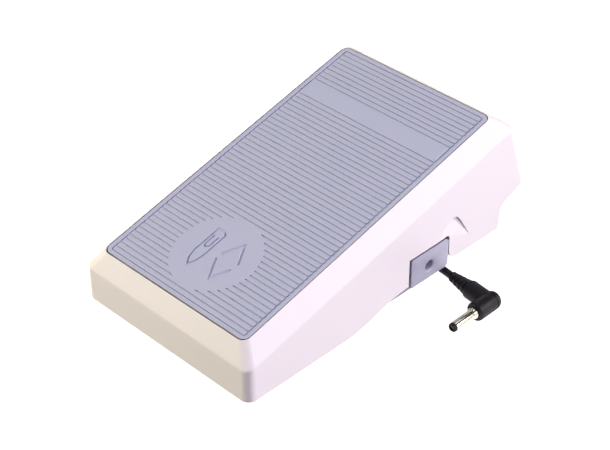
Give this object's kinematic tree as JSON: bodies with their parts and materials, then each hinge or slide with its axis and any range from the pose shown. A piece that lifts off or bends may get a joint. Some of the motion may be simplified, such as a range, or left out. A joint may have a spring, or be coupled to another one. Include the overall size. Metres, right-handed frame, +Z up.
{
  "type": "foot speed controller",
  "caption": "Wedge-shaped rocking foot speed controller with a ribbed grey tread pad, off-white shell, plug parking plate and a right-angle barrel plug on a stowed cord.",
  "frame": {"origin": "centre of the footprint, on the surface that the rubber feet stand on", "axes": "+Z up, +Y towards the raised toe end, +X to the side with the parking plate and the plug"},
  "size_m": [0.165, 0.2154, 0.0835],
  "materials": {
    "shell_plastic": "fine moulded texture, off-white",
    "pad_vinyl": "satin grey vinyl with moulded ribs",
    "base_plastic": "grey moulded plastic",
    "plate_plastic": "satin grey moulded plastic",
    "steel": "zinc-plated",
    "rubber": "matt black rubber",
    "brass": "plain",
    "gear_plastic": "natural acetal",
    "component_plastic": "moulded",
    "board_laminate": "green solder mask",
    "cord_jacket": "matt black jacket",
    "plug_plastic": "satin black moulding",
    "nickel": "nickel-plated"
  },
  "bodies": {
    "base": {"base_pan": "base_plastic", "winding_flange": "base_plastic", "plug_parking_plate": "plate_plastic", "parking_plate_screw_1": "steel", "parking_plate_screw_2": "steel", "pivot_pin_left": "steel", "pivot_pin_right": "steel", "toe_spring_left": "steel", "toe_spring_right": "steel", "heel_spring_left": "steel", "heel_spring_right": "steel", "pot_bracket": "steel", "bracket_screw_1": "steel", "bracket_screw_2": "steel", "board_screw_1": "steel", "board_screw_2": "steel", "board_screw_3": "steel", "board_screw_4": "steel", "clamp_screw_1": "steel", "clamp_screw_2": "steel", "flange_screw": "steel", "rubber_foot_front_left": "rubber", "rubber_foot_front_right": "rubber", "rubber_foot_rear_left": "rubber", "rubber_foot_rear_right": "rubber", "toe_stop_left": "rubber", "toe_stop_right": "rubber", "heel_stop_left": "rubber", "heel_stop_right": "rubber", "cord_grommet": "rubber", "plug_contact": "brass", "board_connector": "gear_plastic", "potentiometer_body": "component_plastic", "board_capacitor": "component_plastic", "board_chip": "component_plastic", "cord_clamp": "component_plastic", "circuit_board": "board_laminate", "cord_coil": "cord_jacket", "cord_tail": "cord_jacket", "inner_cord": "cord_jacket", "plug_body": "plug_plastic", "plug_strain_relief": "plug_plastic", "plug_insulator": "plug_plastic", "plug_barrel": "nickel"},
    "cover": {"pedal_cover": "shell_plastic", "tread_pad": "pad_vinyl", "pivot_bush_left": "brass", "pivot_bush_right": "brass", "sector_gear": "gear_plastic", "sector_screw_1": "steel", "sector_screw_2": "steel"},
    "pot_rotor": {"pot_pinion": "gear_plastic"}
  },
  "joints": [
    {"name": "cover_rock", "type": "hinge", "parent": "base", "child": "cover", "pos_m": [0, 0.035, 0.018], "axis": [-1, 0, 0], "range_deg": [-1.4, 7.5], "stiffness_Nm_per_rad": 8, "deforming": ["toe_spring_left", "toe_spring_right", "heel_spring_left", "heel_spring_right"]},
    {"name": "pot_turn", "type": "hinge", "parent": "base", "child": "pot_rotor", "pos_m": [-0.0445, -0.001, 0.018], "axis": [-1, 0, 0], "range_deg": [-32, 8]}
  ],
  "couplings": [
    {"joint": "pot_turn", "follows": "cover_rock", "ratio": -4}
  ]
}
